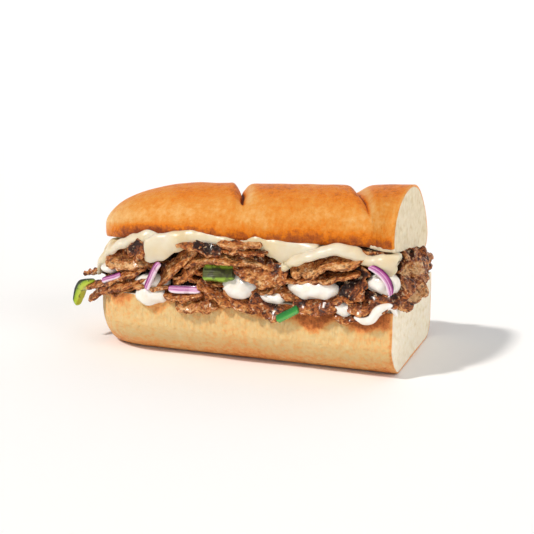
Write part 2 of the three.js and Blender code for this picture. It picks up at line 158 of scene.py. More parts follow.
def newMesh(name, points, faces):
    mesh = bpy.data.meshes.new(name)
    mesh.from_pydata(points.tolist(), [], faces)
    mesh.polygons.foreach_set("use_smooth", [True] * len(mesh.polygons))
    return mesh


def addObject(name, data):
    thing = bpy.data.objects.new(name, data)
    bpy.context.scene.collection.objects.link(thing)
    return thing


def makePiece(name, points, faces, material, nodes, attributes=None, crease=None):
    mesh = newMesh(name, np.asarray(points) * mm, faces)
    for key, values in (attributes or {}).items():
        isVector = np.ndim(values) == 2
        layer = mesh.attributes.new(key, "FLOAT_VECTOR" if isVector else "FLOAT", "POINT")
        layer.data.foreach_set("vector" if isVector else "value", np.ravel(values).astype(float))
    mesh.validate()
    mesh.update()
    if crease:
        mesh.set_sharp_from_angle(angle=math.radians(crease))
    mesh.materials.append(material)
    piece = addObject(name, mesh)
    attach(piece, "root")
    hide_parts(*nodes)
    return piece


# Materials

def linear(hexColour):
    channels = [int(hexColour[i:i + 2], 16) / 255 for i in (1, 3, 5)]
    return (*[c / 12.92 if c <= 0.04045 else ((c + 0.055) / 1.055) ** 2.4 for c in channels], 1)


def addNode(tree, kind, settings):
    # a setting is a ramp's stops, an input's value or what feeds it, or a property of the node
    node = tree.nodes.new("ShaderNode" + kind)
    for key, value in settings.items():
        if key == "stops":
            elements = node.color_ramp.elements
            while len(elements) < len(value):
                elements.new(0.5)
            for element, (position, colour) in zip(elements, value):
                element.position = position
                element.color = linear(colour)
        elif isinstance(value, (bpy.types.Node, bpy.types.NodeSocket)):
            tree.links.new(getattr(value, "outputs", [value])[0], node.inputs[key])
        elif isinstance(key, int) or key in node.inputs:
            node.inputs[key].default_value = value
        else:
            setattr(node, key, value)
    return node


def attribute(tree, name, output="Fac"):
    return addNode(tree, "Attribute", {"attribute_name": name}).outputs[output]


def noise(tree, place, size, detail, roughness=0.5, distortion=0):
    # size is in metres, or 1 where the place is divided already
    return addNode(tree, "TexNoise", {"Scale": 1 / size, "Detail": detail, "Roughness": roughness,
                                      "Distortion": distortion, "Vector": place})


def divided(tree, place, sizes):
    # the place divided by a pattern's size each way, which draws the pattern out
    return addNode(tree, "Mapping", {"Scale": [1 / size for size in sizes], "Vector": place})


def cells(tree, place, size, smoothness):
    # how far it is to the nearest of many points, about size apart
    return addNode(tree, "TexVoronoi", {"feature": "SMOOTH_F1", "Scale": 1 / size,
                                        "Smoothness": smoothness, "Vector": place})


def reckon(tree, operation, *values):
    return addNode(tree, "Math", {"operation": operation, **dict(enumerate(values))})


def coloured(tree, factor, stops):
    return addNode(tree, "ValToRGB", {"stops": stops, "Fac": factor})


def stepped(tree, value, start, end, low=0, high=1, kind="SMOOTHSTEP"):
    # runs from low to high while value runs from start to end
    return addNode(tree, "MapRange", {"interpolation_type": kind, "From Min": start, "From Max": end,
                                      "To Min": low, "To Max": high, "Value": value})


def blended(tree, factor, first, second, kind="MIX"):
    return addNode(tree, "Mix", {"data_type": "RGBA", "blend_type": kind, 0: factor, 6: first,
                                 7: second}).outputs["Result"]


def newMaterial(name, surface):
    material = bpy.data.materials.new(name)
    material.use_nodes = True
    tree = material.node_tree
    shader = tree.nodes["Principled BSDF"]
    for key, value in surface.items():
        shader.inputs[key].default_value = value
    return material, tree, shader


def finishMaterial(tree, shader, height, distance, strength, inputs):
    # a relief up to distance metres deep, and what feeds the shader's other inputs
    bump = addNode(tree, "Bump", {"Distance": distance, "Strength": strength, "Height": height})
    for key, value in {**inputs, "Normal": bump}.items():
        tree.links.new(getattr(value, "outputs", [value])[0], shader.inputs[key])


def bakedBread(name, look):
    # Soft white bread. The oven browned its thin, egg-washed crust, which is smooth with a low
    # satin shine and finely mottled; where a knife went through, the crumb is pale, dull and
    # full of small pores. The bake attribute gives how brown the crust is, crumb where it is cut.
    material, tree, shader = newMaterial(name, {
        "Roughness": 0.5, "IOR": 1.45, "Specular IOR Level": 0.22, "Subsurface Weight": 0.08,
        "Subsurface Radius": (0.0030, 0.0016, 0.0008), "Subsurface Scale": 1,
    })
    place = addNode(tree, "TexCoord", {}).outputs["Object"]
    skin = attribute(tree, "skin", "Vector")
    # blotches about 9 mm across, specks of 1 mm, and streaks up the sides some 2 mm apart
    patterns = {
        "blotch": noise(tree, place, 0.014, 4, 0.55),
        "speck": noise(tree, place, 0.0024, 3, 0.7),
        "streak": noise(tree, divided(tree, skin, (0.0030, 0.016, 1)), 1, 4, 0.6, 0.3),
    }
    browned = attribute(tree, "bake")
    for key, pattern in patterns.items():
        spread = reckon(tree, "MULTIPLY_ADD", pattern, look[key], -0.5 * look[key])
        browned = reckon(tree, "ADD", browned, spread)
    crust = coloured(tree, browned, look["crust"])
    # pores of 1 to 3 mm between thin walls
    pores = cells(tree, place, 0.0026, 0.6)
    holes = reckon(tree, "MULTIPLY", pores, noise(tree, place, 0.0016, 5, 0.72))
    crumb = coloured(tree, holes, look["crumb"])
    # the border between crust and crumb is a little ragged
    ragged = reckon(tree, "MULTIPLY_ADD", patterns["speck"], 0.5, -0.25)
    cut = stepped(tree, reckon(tree, "ADD", attribute(tree, "crumb"), ragged), 0.42, 0.6)
    dull = stepped(tree, cut, 0, 1, look["roughness"], 0.95, "LINEAR")
    # fine wrinkles in the skin of the crust, about 1.5 mm apart and drawn out up and down
    wrinkles = noise(tree, divided(tree, skin, (0.0021, 0.0052, 1)), 1, 5, 0.65)
    relief = addNode(tree, "Mix", {"data_type": "FLOAT", 0: cut, 2: wrinkles, 3: holes})
    strength = stepped(tree, cut, 0, 1, look["wrinkle"], 0.5, "LINEAR")
    finishMaterial(tree, shader, relief, look["wrinkleDepth"], strength,
                   {"Base Color": blended(tree, cut, crust, crumb), "Roughness": dull})
    return material


heelCrust = bakedBread("heel_crust_and_crumb", {
    "blotch": 0.4, "speck": 0.9, "streak": 0.3, "roughness": 0.5, "wrinkle": 1.0, "wrinkleDepth": 0.0032,
    "crust": [(0, "#fbdfa6"), (0.35, "#fccf8b"), (0.6, "#ffb064"), (0.8, "#e68746"), (1, "#b0602e")],
    "crumb": [(0, "#fff5e2"), (0.3, "#fbeed4"), (0.6, "#ead6ae")],
})
crownCrust = bakedBread("crown_crust_and_crumb", {
    "blotch": 0.45, "speck": 0.6, "streak": 0.28, "roughness": 0.44, "wrinkle": 0.85,
    "wrinkleDepth": 0.0020,
    "crust": [(0, "#fbd496"), (0.28, "#f2b76c"), (0.5, "#ea983d"), (0.7, "#e67d0c"),
              (0.86, "#b85c1c"), (1, "#8a3f1a")],
    "crumb": [(0, "#f0e3c9"), (0.3, "#e8d8b9"), (0.6, "#d4bc8e")],
})


def smoothFood(name, surface, look):
    # faint clouds of colour over a smooth body, with a slight unevenness in its skin
    material, tree, shader = newMaterial(name, {**surface, "Subsurface Scale": 1})
    place = addNode(tree, "TexCoord", {}).outputs["Object"]
    colour = coloured(tree, noise(tree, place, *look["clouds"]), look["colours"])
    finishMaterial(tree, shader, noise(tree, place, *look["skin"]), *look["relief"],
                   {"Base Color": colour})
    return material


steakLook = {
    "fibre": (0.0024, 0.0014, 0.0015), "patch": 0.0062, "pit": 0.0014, "fleck": 0.0019,
    "fibreWeight": 1.4, "toneWeight": 0.75, "level": -1.085, "fat": "#e9c69c", "char": "#3a190c",
    "meat": [(0.1, "#261009"), (0.26, "#582811"), (0.4, "#8e4a20"), (0.54, "#b26730"),
             (0.7, "#cc8b4d"), (0.9, "#e8bb87")],
    "crisp": [(0.38, "#4a1e0e"), (0.5, "#b05a26"), (0.6, "#efac6a")],
}


def shavedSteak(name, paintedShade, fatShare):
    # Beef, shaved thin and seared on a griddle: brown and uneven, with pits and fibres, pale
    # flecks of fat, crisp darker rims and a wet shine, and painted shade in its pits. The grain
    # attribute holds each slice's own length, width and depth in metres, rim how near its edge is,
    # and tone its own colour together with painted shade and a painted highlight across it.
    material, tree, shader = newMaterial(name, {
        "Roughness": 0.45, "IOR": 1.42, "Specular IOR Level": 0.3, "Subsurface Weight": 0.05,
        "Subsurface Radius": (0.0020, 0.0008, 0.0004), "Coat Weight": 0.2, "Coat Roughness": 0.15,
    })
    look = steakLook
    grain = attribute(tree, "grain", "Vector")
    # muscle fibres 1 mm wide and some 2 mm long, between browner and paler patches
    fibre = noise(tree, divided(tree, grain, look["fibre"]), 1, 5, 0.6, 0.7)
    patch = noise(tree, grain, look["patch"], 4, 0.6)
    pit = cells(tree, grain, look["pit"], 0.4)
    tone = reckon(tree, "MULTIPLY_ADD", attribute(tree, "tone"), look["toneWeight"],
                  look["level"] - paintedShade)
    browned = reckon(tree, "MULTIPLY_ADD", fibre, look["fibreWeight"],
                     reckon(tree, "ADD", patch, tone))
    rim = stepped(tree, attribute(tree, "rim"), 0.3, 0.95, 0, 0.75)
    seared = blended(tree, rim, coloured(tree, browned, look["meat"]),
                     coloured(tree, fibre, look["crisp"]))
    # flecks of fat and of char, about 1 mm across
    fleck = noise(tree, grain, look["fleck"], 2, 0.55)
    fatty = blended(tree, stepped(tree, fleck, 0.6, 0.68, 0, fatShare), seared, linear(look["fat"]))
    charred = blended(tree, stepped(tree, fleck, 0.43, 0.34, 0, 0.65), fatty, linear(look["char"]))
    # painted shade in the pits of the relief
    paintedPitShade = stepped(tree, pit, 0.02, 0.4, 0.62, 1, "LINEAR")
    finishMaterial(tree, shader, reckon(tree, "MULTIPLY_ADD", fibre, 0.5, pit), 0.0007, 1, {
        "Base Color": blended(tree, 1, charred, paintedPitShade, "MULTIPLY"),
        "Roughness": stepped(tree, patch, 0.3, 0.7, 0.28, 0.62, "LINEAR"),
    })
    return material


def cutVegetable(name, look):
    # A strip cut from a vegetable: translucent flesh with fine veins along it, and a glossy
    # skin on one side. Across runs from 0 on the skin side to 1 on the inner side.
    material, tree, shader = newMaterial(name, {
        "Roughness": look["roughness"], "IOR": 1.4, "Subsurface Weight": 0.22, "Subsurface Scale": 1,
        "Subsurface Radius": look["radius"], "Coat Weight": 0.25, "Coat Roughness": 0.12,
    })
    grain = attribute(tree, "grain", "Vector")
    vein = noise(tree, divided(tree, grain, (0.012, 0.0009, 0.0009)), 1, 3, 0.6)
    veined = reckon(tree, "MULTIPLY_ADD", vein, look["vein"], attribute(tree, "across"))
    flesh = coloured(tree, reckon(tree, "SUBTRACT", veined, look["vein"] / 2), look["colours"])
    grilled = stepped(tree, noise(tree, grain, look["blotSize"], 4), look["charFrom"],
                      look["charFrom"] + 0.08, 0, look["char"])
    finishMaterial(tree, shader, vein, 0.0004, 0.5,
                   {"Base Color": blended(tree, grilled, flesh, linear(look["charColour"]))})
    return material


# Mild white cheese, melted: soft waves with a moist shine, cream where it is thick.
cheeseMaterial = smoothFood("melted_white_cheese", {
    "Roughness": 0.33, "IOR": 1.44, "Subsurface Weight": 0.3, "Coat Weight": 0.15,
    "Subsurface Radius": (0.0042, 0.0030, 0.0016), "Coat Roughness": 0.2,
}, {"clouds": (0.013, 3), "colours": [(0.34, "#dfcaa0"), (0.5, "#e3d3b4"), (0.66, "#e6dcc6")],
    "skin": (0.0034, 3), "relief": (0.0006, 0.14)})
# Mayonnaise-like sauce, spooned on: opaque, smooth and glossy, with a cream tinge in folds.
sauceMaterial = smoothFood("white_sauce", {
    "Roughness": 0.2, "IOR": 1.46, "Subsurface Weight": 0.2, "Coat Weight": 0.5,
    "Subsurface Radius": (0.0026, 0.0022, 0.0016), "Coat Roughness": 0.08,
}, {"clouds": (0.004, 4), "colours": [(0.3, "#f0e6d6"), (0.6, "#f8f4ec")],
    "skin": (0.004, 4), "relief": (0.0003, 0.12)})
steakMaterial = shavedSteak("shaved_seared_steak", 0, 0.6)
# the same steak inside the heap, darkened as painted shade for the hollows between slices
coreMaterial = shavedSteak("shaded_steak_inside", 0.3, 0.2)
onionMaterial = cutVegetable("red_onion_strips", {
    "roughness": 0.25, "radius": (0.0030, 0.0016, 0.0022), "vein": 0.35, "blotSize": 0.004,
    "colours": [(0.06, "#4c1440"), (0.22, "#8f2f78"), (0.36, "#bb62a2"), (0.46, "#e0b6d0"),
                (0.56, "#a0408a"), (0.7, "#cf93bd"), (0.9, "#eed8e2")],
    "charFrom": 0.62, "char": 0.35, "charColour": "#8a4f55",
})
pepperMaterial = cutVegetable("green_pepper_grilled", {
    "roughness": 0.28, "radius": (0.0016, 0.0022, 0.0006), "vein": 0.18, "blotSize": 0.0026,
    "colours": [(0.1, "#0f1a07"), (0.32, "#1d300b"), (0.39, "#7f9c28"), (0.6, "#aabf30"),
                (0.9, "#c2cc48")],
    "charFrom": 0.6, "char": 0.75, "charColour": "#3a3a16",
})
charredPepperMaterial = cutVegetable("green_pepper_charred", {
    "roughness": 0.4, "radius": (0.0014, 0.0020, 0.0006), "vein": 0.2, "blotSize": 0.0022,
    "colours": [(0.08, "#a4c43c"), (0.22, "#86a232"), (0.32, "#454f18"), (0.6, "#4d5219"),
                (0.76, "#3c4214"), (0.86, "#90b038")],
    "charFrom": 0.5, "char": 0.6, "charColour": "#2b2210",
})
rawPepperMaterial = cutVegetable("green_pepper_fresh", {
    "roughness": 0.25, "radius": (0.0014, 0.0022, 0.0008), "vein": 0.15, "blotSize": 0.003,
    "colours": [(0.1, "#1e6a30"), (0.4, "#2b7d38"), (0.75, "#38903f"), (0.95, "#5aae58")],
    "charFrom": 0.75, "char": 0.2, "charColour": "#2c4a20",
})
print("materials made")


# Bread

def fromTip(x):
    # 0 near the tip, 1 at the cut end
    return (x + 60) / 135


def heelTop(x):
    return lerp(heel["topTip"], heel["topCut"], np.clip(fromTip(x), 0, 1))


def heelSection(q, top):
    # half of the section, from the middle of the base (q 0) to the middle of the top (q 1);
    # the shares are where its base, its side and its rounded edge end
    half, base, lip = heel["width"] / 2, heel["baseWidth"] / 2, heel["edgeRadius"]
    foot, side, rim = heel["shares"]
    a = np.clip((q - foot) / (side - foot), 0, 1) * math.pi / 2
    e = np.clip((q - side) / (rim - side), 0, 1)
    parts = [q < foot, q < side, q < rim]
    y = np.select(parts, [base * q / foot, base + (half - base) * np.sin(a), half - lip * e * e],
                  (half - lip) * (1 - q) / (1 - rim))
    z = np.select(parts, [0 * q, heel["widestZ"] * (1 - np.cos(a)), lerp(heel["widestZ"], top, e)], top)
    return y, z


def crownHeight(x):
    full = lerp(crown["heightTip"], crown["heightCut"], np.clip((x + 10) / 85, 0, 1))
    return full * nose(x, 48, 2.4, crown["tipX"])


def crownSection(q, height):
    # half of the section, from the middle of the underside (q 0) to the apex (q 1); the shares
    # are where its underside and its swelling lower edge end
    half, slit, swell = crown["width"] / 2, crown["slitWidth"] / 2, crown["swell"]
    under, edge = crown["shares"]
    a = np.clip((q - under) / (edge - under), 0, 1) * math.pi / 2
    b = np.clip((q - edge) / (1 - edge), 0, 1) * math.pi / 2
    parts = [q < under, q < edge]
    y = np.select(parts, [slit * q / under, slit + (half - slit) * np.sin(a)], half * np.cos(b))
    z = np.select(parts, [0 * q, swell * (1 - np.cos(a))], swell + (height - swell) * np.sin(b))
    return y, z, np.where(q < edge, 0, np.sin(b))


def crownZ(x):
    return lerp(crown["zTip"], crown["zCut"], fromTip(x))


def crownDroop(x):
    return crown["sag"] * ease((x - 40) / 35)


def roof(x, y):
    # level of the crown's underside over the filling
    return crownZ(x) - crownDroop(x) - math.tan(math.radians(crown["tilt"])) * (y - crown["y"])


def loafGrid(loaf, qHalf):
    # rows run from the tip to the cut edge and on to the middle of the cut face
    reach = loaf["tipLength"]
    start = loaf["tipX"] + reach
    tip = start - reach * np.cos(np.linspace(0.045, math.pi / 2, 78))
    body = chain(tip, np.linspace(start, cutX - 0.5, 130)[1:])
    rim = chain(np.ones(len(body)), [0.996, 0.985], np.linspace(0.97, 0.03, 40))
    x = chain(body, [cutX - 0.12], np.full(41, cutX))
    q = chain(qHalf, qHalf[-2:0:-1])
    side = chain(np.ones(len(qHalf)), -np.ones(len(qHalf) - 2))
    return np.meshgrid(x, q, indexing="ij") + [np.broadcast_to(side, (len(x), len(q))), rim[:, None]]


def skinPlace(x, around, y, z):
    # where a point is on the loaf's skin: along it and round it, and across and up at its tip
    blunt = ease((heel["tipX"] + 12 - x) / 10)
    spread = stacked(lerp(x, y, blunt), lerp(around, z, blunt), 0 * x).reshape(-1, 3)
    return chain(spread, spread[:1], spread[-1:]) * mm


def tornCrumb(x, place, depth, seed):
    # how far the crumb of the cut face stands out
    uneven = 0.32 * ripples(place, 9, seed) + 0.16 * ripples(place, 3.4, seed + 1) - 0.3
    return np.where(x > cutX - 0.01, 1, 0) * ease(depth / 3) * uneven


def makeLoaf(name, material, points, end, crumb, bake, tipBake, skin):
    # its last two points are the middles of the tip and of the cut face
    points, faces = tubeMesh(points, points[0].mean(0), end)
    attributes = {"crumb": np.append(crumb, [0, 1]), "bake": np.append(bake, [tipBake, 0.3]),
                  "skin": skin}
    makePiece(name + "_loaf", points, faces, material, ["bread_" + name], attributes)


# How brown the heel is: up its sides, by how much more along the lower edge and at the tip and where
# juices of the filling soak it and its shadow is painted, near the tip and near the cut end, and at the
# cut edge
heelBake = {"side": 0.3, "lowEdge": 0.34, "tip": 0.1, "sway": 0.05, "soakAndShadowTip": 0.34, "soakAndShadowCut": 0.66,
            "cutEdge": 0.62}


def makeHeel():
    foot, flank, lip = heel["shares"]
    qHalf = chain(
        np.linspace(0, foot, 16)[:-1], np.linspace(foot, flank, 58)[:-1],
        np.linspace(flank, lip - 0.004, 16), [lip, lip + 0.003], np.linspace(lip + 0.008, 1, 22),
    )
    x, q, side, rim = loafGrid(heel, qHalf)
    top = heelTop(x)
    y, z = heelSection(q, top)
    y = (side * y + heel["lean"] * ease(z / heel["widestZ"])) * nose(x, heel["tipLength"], 2.3)
    z = top - (top - z) * nose(x, 16, 2.6)
    # hand-made bread is never quite even: low humps, a wavy slit and a soft, torn crumb
    place = stacked(x, y, z)
    lift = ease(z / 9)
    hump = (0.55 * ripples(place, 42, 11) + 0.16 * ripples(place, 13, 12)) * lift * (q < lip)
    reach = np.hypot(y, z - 12) + 1e-6
    y = y + hump * y / reach
    z = z + hump * (z - 12) / reach * 0.6
    z = z + (q > 0.78) * (0.5 * ripples(place, 16, 13) + 0.25 * ripples(place, 5, 14)) * lift
    centre = top * 0.6
    depth = (1 - rim) * np.hypot(y, z - centre)
    y, z = rim * y, centre + rim * (z - centre)
    x = x + tornCrumb(x, stacked(x, y, z), depth, 15)
    cut = np.where(q >= lip - 0.003, 1, ease((depth - 0.55) / 0.9) * (x > cutX - 1.5))
    # a juice stain with painted shadow of the filling: darker for some mm below the top, most at the
    # front
    drip = lerp(7, 11, ease((x - 10) / 30)) + 2.5 * ripples(stacked(x, 0), 18, 17)
    soakAndShadow = ease((z - top + drip) / 5) * np.where(side < 0, 1, 0.5) * ease((x + 66) / 8)
    cutSide = ease((x + 10) / 50)
    patterns = {
        "side": 1, "lowEdge": ease(1 - z / 11), "tip": ease((-60 - x) / 9), "sway": np.sin(x * 0.09 + 1),
        "soakAndShadowTip": soakAndShadow * (1 - cutSide), "soakAndShadowCut": soakAndShadow * cutSide,
    }
    bake = sum(heelBake[key] * pattern for key, pattern in patterns.items())
    bake = np.where(x > cutX - 1.2, heelBake["cutEdge"], bake)
    makeLoaf("heel", heelCrust, stacked(x, y, z), (cutX - 0.3, 0, centre[-1, 0]), cut, bake, 0.45,
             skinPlace(x, side * q * 95, y, z))


# The same for the crown, with browning and painted shade in a band low on its sides and in its hem,
# the hem darker towards the tip, and painted shade in the crevice, the young crust and the lip of each
# slash
crownBake = {"side": 0.36, "top": 0.32, "tip": -0.14, "left": -0.06, "shadedBand": 0.24, "hem": 0.26,
             "shadedTipHem": 0.3, "crevice": 0.7, "young": -0.34, "lip": 0.14, "cutEdge": 0.5}


def makeCrown():
    under, edge = crown["shares"]
    qHalf = chain(
        np.linspace(0, under - 0.004, 18), [under, under + 0.003],
        np.linspace(under + 0.008, edge, 18)[:-1], np.linspace(edge, 1, 92),
    )
    x, q, side, rim = loafGrid(crown, qHalf)
    height = np.maximum(crownHeight(x), 1)
    swell = crown["swell"]
    y, z, up = crownSection(q, height)
    across = nose(x, 34, 2.3, crown["tipX"])
    # rows stand closer together at each slash
    station = x.copy()
    for slash in slashes:
        d = x - slash["x"]
        station -= np.where(x < cutX - 0.6, 0.6 * d * bell(d, 10), 0)
    # each slash: a soft valley with a narrow crevice in it, a rolled lip on the left and a
    # strip of paler, younger crust on the right
    cut, crevice, young, lip = (np.zeros_like(x) for _ in range(4))
    for k, slash in enumerate(slashes):
        d = station - slash["x"] + 0.5 * ripples(stacked(y * side, z), 22, 20 + k)
        rise = (up - slash["reach"]) / (1 - slash["reach"])
        fade = ease(rise * 1.7)
        cut += slash["depth"] * fade * bell(d, np.where(d < 0, slash["left"], slash["right"]))
        # the crevice also darkens the bake below, as painted shade
        crevice += slash["split"] * ease(rise * 3) * bell(d, 0.7)
        young += fade * bell(d - 3.3, 2.4)
        lip += fade * bell(d + 3.4, 1.8)
    cut = cut + 2.1 * crevice - 0.6 * lip
    slant = ease((x + 45) / 35) * ease((cutX - x) / 26) * lerp(
        slashes[0]["slant"], slashes[1]["slant"], np.clip((x + 5) / 50, 0, 1))
    lean = (side > 0) * crown["lean"] * 2 * up * np.sqrt(np.clip(1 - up * up, 0, 1))
    place = stacked(station, side * y, z)
    hump = (0.45 * ripples(place, 46, 21) + 0.14 * ripples(place, 14, 22)) * (q > under)
    hump = hump + ((q > 0.17) & (q < 0.26)) * 0.35 * ripples(place, 7, 23)
    hump = hump * nose(x, 20, 2, crown["tipX"])
    outY = side * (y - lean - cut * (1 - up) + hump * (1 - up)) * across
    outZ = z * np.where((z > swell) | (height > swell), 1, height / swell)
    outZ = outZ - cut * up - crownDroop(x) * (1 - up) ** 2 + hump * up
    outZ = outZ + (q < under) * 0.3 * ripples(place, 6, 24) * ease(height / 8)
    centre = height * 0.4
    depth = (1 - rim) * np.hypot(outY, outZ - centre)
    outX = station + slant * rim * outY
    outY, outZ = rim * outY, centre + rim * (outZ - centre)
    outX = outX + tornCrumb(x, stacked(outX, outY, outZ), depth, 25)
    # near the cut end the lower front edge is torn, and its crumb shows as a pale strip
    ragged = 0.275 + 0.012 * ripples(stacked(x, 0), 6, 27)
    torn = (side < 0) * ease((x - 46) / 12) * ease((ragged - q) / 0.015)
    atFace = ease((depth - 0.55) / 0.9) * (x > cutX - 0.01)
    crumb = np.maximum.reduce([(q <= under).astype(float), torn, atFace])
    # the low band and the hem are painted shade, with some browning, where the sides face down
    patterns = {
        "side": 1, "top": ease(up * 1.05), "tip": ease((-34 - x) / 24) * (1 - up),
        "left": ease((-20 - x) / 20), "shadedBand": ease((0.5 - q) / 0.17) * ease((x + 62) / 30),
        "hem": ease((0.37 - q) / 0.09), "crevice": crevice, "young": young, "lip": lip,
        "shadedTipHem": ease((0.4 - q) / 0.07) * ease((-14 - x) / 24) * ease((x + 64) / 8),
    }
    bake = sum(crownBake[key] * pattern for key, pattern in patterns.items())
    bake = np.where(x > cutX - 1.2, crownBake["cutEdge"], bake)

    def tilted(x, y, z):
        y, z = turned(y, z, -crown["tilt"])
        return stacked(x, crown["y"] + y, crownZ(x) + z)

    makeLoaf("crown", crownCrust, tilted(outX, outY, outZ), tilted(cutX, 0, centre[-1, 0]) - [0.3, 0, 0],
             crumb, bake, 0.3, skinPlace(station, side * (1 - q) * 85, outY, outZ))


makeHeel()
makeCrown()
print("bread made")

# Cheese. Along each slice, at even steps from the tip's side: crest is how high its front wave
# laps up before the crown's lower edge, low how far down its hem hangs, front how far forward
# the wave stands, and tail how far its back edge hangs.
cheese = {"thick": 2.4, "gap": 0.4, "overlap": 8, "back": 19, "tipX": -76, "corner": 4,
          "alongCount": 90, "hemCount": 60, "backCount": 36, "hem": 24}
cheeseSlices = [
    {"from": -68, "to": -26, "crest": [33.5, 42.3, 48, 51.6, 54.6, 57, 55.5],
     "low": [30.5, 37.5, 43.8, 47.4, 50.4, 50, 50], "front": [-26, -33, -38, -41, -42.5, -43, -42],
     "tail": [4, 6, 4, 5]},
    {"from": -34.5, "to": 9, "crest": [53.6, 55.6, 57, 58.3, 58.2, 57, 55],
     "low": [42.2, 43.6, 48, 51.5, 52.5, 52, 51], "front": [-43.6, -44, -43, -41.6, -41, -40.6, -40.2],
     "tail": [5, 3, 6, 4]},
    {"from": 3, "to": 43, "crest": [55, 56.6, 58.4, 57.2, 56.2, 56.4, 56],
     "low": [52, 52.5, 51.5, 48.5, 45, 47, 50], "front": [-40.2, -40.4, -41, -41, -40.6, -40.2, -40],
     "tail": [4, 6, 3, 5]},
    {"from": 28, "to": 77, "toHem": 74.6, "toBack": 70,
     "crest": [46.8, 50.3, 53, 55.6, 57, 55.8, 52.6, 53.2, 54.2],
     "low": [44.2, 46.8, 49.2, 51.2, 52.4, 51, 48.6, 46, 43.4],
     "front": [-43.2, -44, -44.2, -44, -43.6, -42.6, -41.8, -41.6, -40.2],
     "tail": [6, 4, 5, 3]},
]


def smoothPath(control, count):
    # a smooth curve through the control points, given as rows x points x 2, read at count places
    last = control.shape[1] - 1
    t = np.linspace(0, last, count)
    k = np.minimum(np.floor(t).astype(int), last - 1)
    f = (t - k)[None, :, None]
    p0, p1 = control[:, np.maximum(k - 1, 0)], control[:, k]
    p2, p3 = control[:, k + 1], control[:, np.minimum(k + 2, last)]
    return 0.5 * (2 * p1 + (p2 - p0) * f + (2 * p0 - 5 * p1 + 4 * p2 - p3) * f ** 2
                  + (3 * p1 - p0 - 3 * p2 + p3) * f ** 3)


def cheeseSheet(layer, number):
    # the middle surface of a slice: rows along it, columns from the front hem to the back edge
    ends = np.array([0, 0.12, 0.3, 0.55, 0.85, 1.2])
    first, last, thick = layer["from"], layer["to"], cheese["thick"]
    x = chain(first + ends, np.linspace(first + 1.7, last - 1.7, cheese["alongCount"]),
                        last - ends[::-1])
    u = (x - first) / (last - first)
    crest, low, front, tail = (through(layer[key], u) for key in ("crest", "low", "front", "tail"))
    crest = crest - thick / 2
    fromEnd = np.clip(np.minimum(x - first, last - x) / cheese["corner"], 0, 1)
    low = low + 0.8 * cheese["corner"] * (1 - np.sqrt(1 - (1 - fromEnd) ** 2))
    back = cheese["back"] * np.maximum(nose(x, 40, 2.2, cheese["tipX"]), 0.3)
    under = ease((first + cheese["overlap"] - x) / cheese["overlap"]) * (thick + 0.4)
    sag = 0.8 + 0.6 * np.sin(x * 0.16 + number * 2) + 9 * ease((-57 - x) / 11)

    def level(y):
        return roof(x, y) - cheese["gap"] - thick / 2 - under - sag

    inner = front + 9 * np.clip(-front / 40, 0.5, 1)
    path = [
        (front + 1.6, low), (front + 0.3, lerp(low, crest, 0.42)), (front + 0.7, crest - 1.1),
        (front + 2.6, crest + 0.1), (front + 5.4, lerp(crest, level(inner), 0.6)),
        (inner, level(inner)), (inner * 0.5, level(inner * 0.5)), (0 * x, level(0 * x)),
        (back * 0.6, level(back * 0.6)), (back, level(back)), (back + 3.6, level(back) - 2),
        (back + 4.6, level(back) - 5.5), (back + 4.2, level(back) - 6 - tail),
    ]
    curve = smoothPath(np.stack([np.stack(point, -1) for point in path], 1), 150)
    steps = np.linalg.norm(np.diff(curve, axis=1), axis=-1)
    run = np.concatenate([np.zeros((len(x), 1)), np.cumsum(steps, 1)], 1)
    # even steps along the path, closer together at the two rims
    want = chain(ends, np.linspace(1.7, cheese["hem"], cheese["hemCount"]))
    columns = []
    for points, length in zip(curve, run):
        rest = np.linspace(cheese["hem"], length[-1] - 1.7, cheese["backCount"])[1:]
        at = chain(want, rest, length[-1] - ends[::-1])
        columns.append(np.stack([at] + [np.interp(at, length, points[:, k]) for k in range(2)], -1))
    s, y, z = np.moveaxis(np.array(columns), -1, 0)
    end = lerp(layer.get("toHem", last), last, ease(s / 7))
    end = lerp(end, layer.get("toBack", last), ease((s - 9) / 12))
    x = x[:, None] - (last - end) * u[:, None]
    # soft folds that run down the hanging edge, and a lazy unevenness all over
    hanging = ease((13 - s) / 7)
    y = y - hanging * (0.75 * ripples(stacked(x, 0.3 * s), 14, 30 + number)
                       + 0.14 * ripples(stacked(x, 0.4 * s), 6, 35 + number))
    z = z + hanging * 0.2 * ripples(stacked(x, s), 9, 50 + number)
    fromRim = np.minimum(np.minimum(s, run[:, -1:] - s), np.minimum(x - first, last - x))
    return stacked(x, y, z), fromRim


def makeCheese(layer, number):
    sheet, fromRim = cheeseSheet(layer, number)
    normal = np.cross(np.gradient(sheet, axis=0), np.gradient(sheet, axis=1))
    normal /= np.linalg.norm(normal, axis=-1, keepdims=True) + 1e-9
    # a rounded rim: the thickness falls off along a quarter circle
    half = cheese["thick"] / 2
    near = np.clip(fromRim / (half * 1.15), 0, 1)
    offset = (half * np.sqrt(1 - (1 - near) ** 2))[..., None] * normal
    rows, columns, _ = sheet.shape
    points = chain((sheet + offset).reshape(-1, 3), (sheet - offset).reshape(-1, 3))
    top = gridFaces(rows, columns, closed=False)
    bottom = [face[::-1] for face in gridFaces(rows, columns, closed=False, first=rows * columns)]
    piece = makePiece("cheese_slice_%d" % number, points, top + bottom, cheeseMaterial,
                      ["cheese_%d" % number])
    # the two faces of the slice meet at its rim
    shape = bmesh.new()
    shape.from_mesh(piece.data)
    bmesh.ops.remove_doubles(shape, verts=shape.verts, dist=0.00002)
    bmesh.ops.recalc_face_normals(shape, faces=shape.faces)
    shape.to_mesh(piece.data)
    shape.free()


for number, layer in enumerate(cheeseSlices, 1):
    makeCheese(layer, number)
print("cheese made")


# Steak and vegetables

